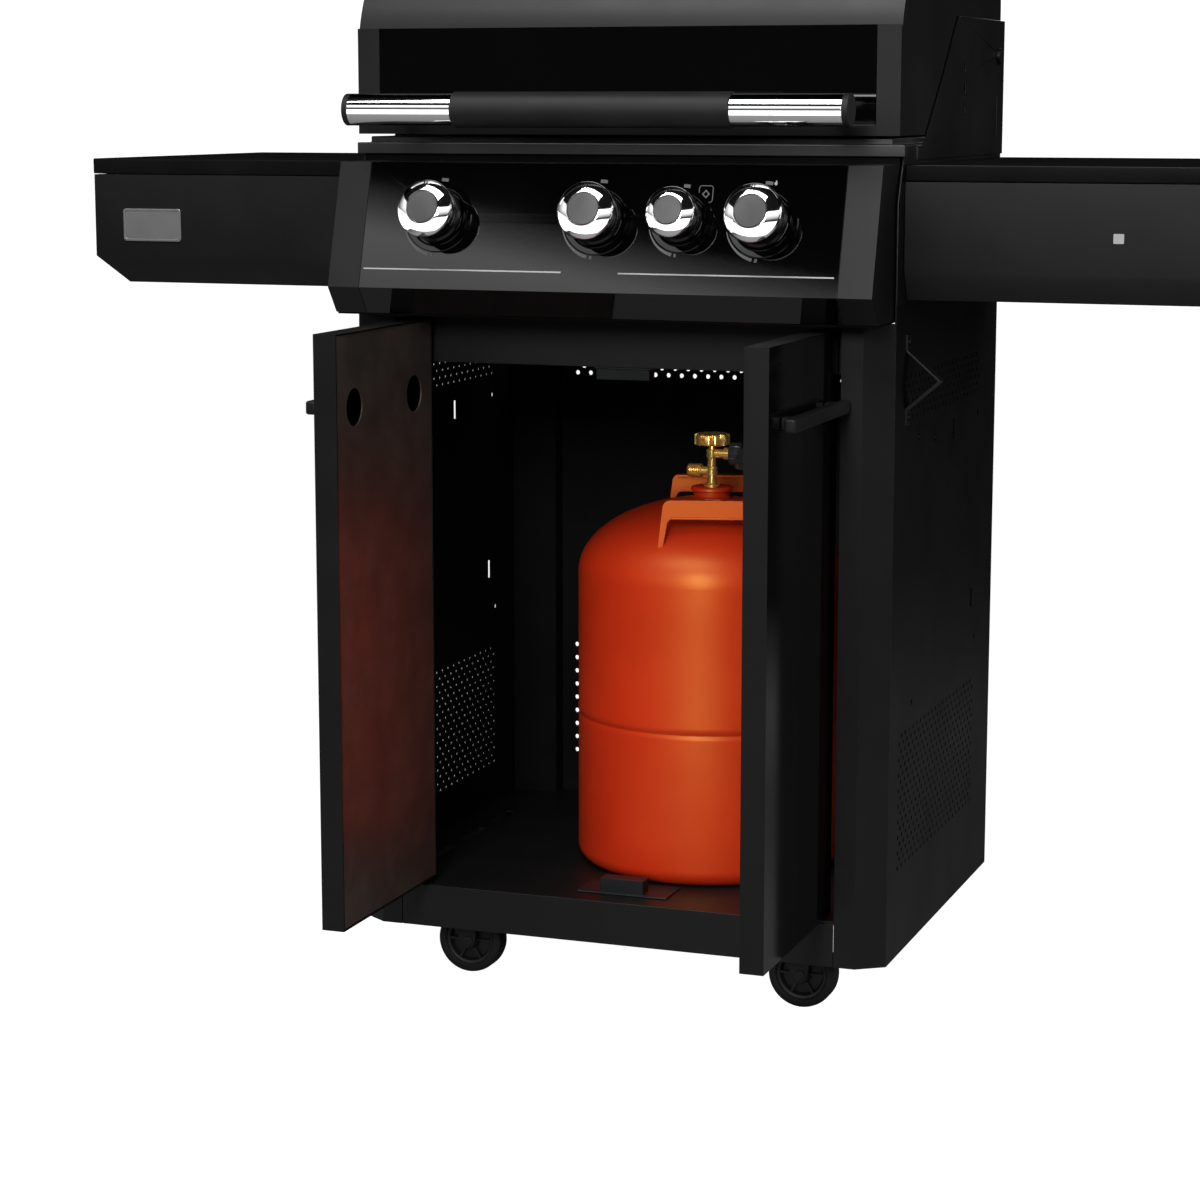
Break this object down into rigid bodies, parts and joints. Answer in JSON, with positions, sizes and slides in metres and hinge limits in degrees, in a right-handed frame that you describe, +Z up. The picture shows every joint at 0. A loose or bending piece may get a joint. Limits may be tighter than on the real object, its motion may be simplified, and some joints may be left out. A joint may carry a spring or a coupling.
{
  "type": "gas barbecue grill",
  "caption": "Gas grill on a two-door cabinet with side shelves, hinged hood, sloping control panel with knobs, swivel casters and a gas cylinder inside.",
  "frame": {"origin": "on the floor, under the middle of the whole grill's box with the doors open", "axes": "+X to the right seen from the front, +Y to the back, +Z up"},
  "size_m": [1.274, 0.7114, 1.1675],
  "materials": {
    "black_steel": "satin powder coat",
    "gloss_black": "high gloss enamel",
    "liner_satin": "satin",
    "galvanised": "matt zinc",
    "stainless": "brushed",
    "chrome": "polished",
    "grip_black": "matt",
    "knob_finish": "chromed ring on a dark body",
    "catch_plastic": "matt",
    "brass": "satin",
    "cast_iron": "matt enamel",
    "orange_paint": "semi gloss",
    "regulator_grey": "matt",
    "caster_steel": "satin",
    "wheel_rubber": "matt"
  },
  "bodies": {
    "cabinet": {"cabinet_floor_tray": "black_steel", "right_side_panel": "black_steel", "left_side_panel": "black_steel", "back_panel": "black_steel", "front_right_post": "black_steel", "front_left_post": "black_steel", "door_header_beam": "black_steel", "panel_end_caps": "black_steel", "rear_housing": "black_steel", "left_shelf_top": "black_steel", "right_shelf_top": "black_steel", "left_shelf_skirt": "black_steel", "right_shelf_skirt": "black_steel", "bottle_opener": "black_steel", "firebox_rim": "black_steel", "firebox": "black_steel", "control_panel_frame": "galvanised", "shelf_supports": "galvanised", "caster_plates": "galvanised", "panel_screws": "galvanised", "control_panel_face": "gloss_black", "door_catches": "catch_plastic", "gas_manifold": "brass", "cylinder_valve": "brass", "burners": "stainless", "flame_tamers": "stainless", "warming_rack": "stainless", "cooking_grates": "cast_iron", "gas_cylinder": "orange_paint", "gas_regulator": "regulator_grey"},
    "left_door": {"left_door_shell": "black_steel", "left_door_handle": "black_steel", "left_door_liner": "liner_satin"},
    "right_door": {"right_door_shell": "black_steel", "right_door_handle": "black_steel", "right_door_liner": "liner_satin"},
    "hood": {"hood_shell": "black_steel", "hood_front_panel": "gloss_black", "hood_handle_tube": "chrome", "hood_handle_grip": "grip_black", "hood_handle_mounts": "grip_black"},
    "grease_drawer": {"grease_tray": "galvanised", "grease_cup": "galvanised"},
    "handwheel": {"valve_handwheel": "brass"},
    "valve_stem_left": {"valve_stem_left": "stainless"},
    "knob_left": {"knob_left": "knob_finish"},
    "valve_stem_centre": {"valve_stem_centre": "stainless"},
    "knob_centre": {"knob_centre": "knob_finish"},
    "valve_stem_small": {"valve_stem_small": "stainless"},
    "knob_small": {"knob_small": "knob_finish"},
    "valve_stem_right": {"valve_stem_right": "stainless"},
    "knob_right": {"knob_right": "knob_finish"},
    "caster_fork_front_left": {"caster_fork_front_left": "caster_steel"},
    "caster_wheel_front_left": {"caster_wheel_front_left": "wheel_rubber"},
    "caster_fork_front_right": {"caster_fork_front_right": "caster_steel"},
    "caster_wheel_front_right": {"caster_wheel_front_right": "wheel_rubber"},
    "caster_fork_rear_left": {"caster_fork_rear_left": "caster_steel"},
    "caster_wheel_rear_left": {"caster_wheel_rear_left": "wheel_rubber"},
    "caster_fork_rear_right": {"caster_fork_rear_right": "caster_steel"},
    "caster_wheel_rear_right": {"caster_wheel_rear_right": "wheel_rubber"}
  },
  "joints": [
    {"name": "left_door_hinge", "type": "hinge", "parent": "cabinet", "child": "left_door", "pos_m": [-0.232, -0.12525, 0.4195], "axis": [0, 0, 1], "range_deg": [0, 90]},
    {"name": "right_door_hinge", "type": "hinge", "parent": "cabinet", "child": "right_door", "pos_m": [0.232, -0.12525, 0.4195], "axis": [0, 0, -1], "range_deg": [0, 90]},
    {"name": "hood_hinge", "type": "hinge", "parent": "cabinet", "child": "hood", "pos_m": [0, 0.32275, 1.0115], "axis": [-1, 0, 0], "range_deg": [0, 85]},
    {"name": "grease_tray_slide", "type": "slide", "parent": "cabinet", "child": "grease_drawer", "axis": [0, 1, 0], "range_m": [0, 0.3]},
    {"name": "knob_left_turn", "type": "hinge", "parent": "cabinet", "child": "valve_stem_left", "pos_m": [-0.177, -0.17652, 0.84139], "axis": [0, -0.9612, 0.2757], "range_deg": [0, 120]},
    {"name": "knob_left_push", "type": "slide", "parent": "valve_stem_left", "child": "knob_left", "axis": [0, 0.9612, -0.2757], "range_m": [0, 0.003], "stiffness_N_per_m": 1500},
    {"name": "knob_centre_turn", "type": "hinge", "parent": "cabinet", "child": "valve_stem_centre", "pos_m": [0, -0.17652, 0.84139], "axis": [0, -0.9612, 0.2757], "range_deg": [0, 120]},
    {"name": "knob_centre_push", "type": "slide", "parent": "valve_stem_centre", "child": "knob_centre", "axis": [0, 0.9612, -0.2757], "range_m": [0, 0.003], "stiffness_N_per_m": 1500},
    {"name": "knob_small_turn", "type": "hinge", "parent": "cabinet", "child": "valve_stem_small", "pos_m": [0.0905, -0.17652, 0.84139], "axis": [0, -0.9612, 0.2757], "range_deg": [0, 120]},
    {"name": "knob_small_push", "type": "slide", "parent": "valve_stem_small", "child": "knob_small", "axis": [0, 0.9612, -0.2757], "range_m": [0, 0.003], "stiffness_N_per_m": 1500},
    {"name": "knob_right_turn", "type": "hinge", "parent": "cabinet", "child": "valve_stem_right", "pos_m": [0.177, -0.17652, 0.84139], "axis": [0, -0.9612, 0.2757], "range_deg": [0, 120]},
    {"name": "knob_right_push", "type": "slide", "parent": "valve_stem_right", "child": "knob_right", "axis": [0, 0.9612, -0.2757], "range_m": [0, 0.003], "stiffness_N_per_m": 1500},
    {"name": "caster_front_left_swivel", "type": "hinge", "parent": "cabinet", "child": "caster_fork_front_left", "pos_m": [-0.1926, -0.08425, 0.0595], "axis": [0, 0, 1], "continuous": true},
    {"name": "caster_front_left_roll", "type": "hinge", "parent": "caster_fork_front_left", "child": "caster_wheel_front_left", "pos_m": [-0.1826, -0.08425, 0.037], "axis": [0, 1, 0], "continuous": true},
    {"name": "caster_front_right_swivel", "type": "hinge", "parent": "cabinet", "child": "caster_fork_front_right", "pos_m": [0.1926, -0.08425, 0.0595], "axis": [0, 0, 1], "continuous": true},
    {"name": "caster_front_right_roll", "type": "hinge", "parent": "caster_fork_front_right", "child": "caster_wheel_front_right", "pos_m": [0.2026, -0.08425, 0.037], "axis": [0, 1, 0], "continuous": true},
    {"name": "caster_rear_left_swivel", "type": "hinge", "parent": "cabinet", "child": "caster_fork_rear_left", "pos_m": [-0.1926, 0.30775, 0.0595], "axis": [0, 0, 1], "continuous": true},
    {"name": "caster_rear_left_roll", "type": "hinge", "parent": "caster_fork_rear_left", "child": "caster_wheel_rear_left", "pos_m": [-0.1826, 0.30775, 0.037], "axis": [0, 1, 0], "continuous": true},
    {"name": "caster_rear_right_swivel", "type": "hinge", "parent": "cabinet", "child": "caster_fork_rear_right", "pos_m": [0.1926, 0.30775, 0.0595], "axis": [0, 0, 1], "continuous": true},
    {"name": "caster_rear_right_roll", "type": "hinge", "parent": "caster_fork_rear_right", "child": "caster_wheel_rear_right", "pos_m": [0.2026, 0.30775, 0.037], "axis": [0, 1, 0], "continuous": true},
    {"name": "handwheel_turn", "type": "hinge", "parent": "cabinet", "child": "handwheel", "pos_m": [0.036, 0.09775, 0.5895], "axis": [0, 0, 1], "range_deg": [0, 540]}
  ]
}
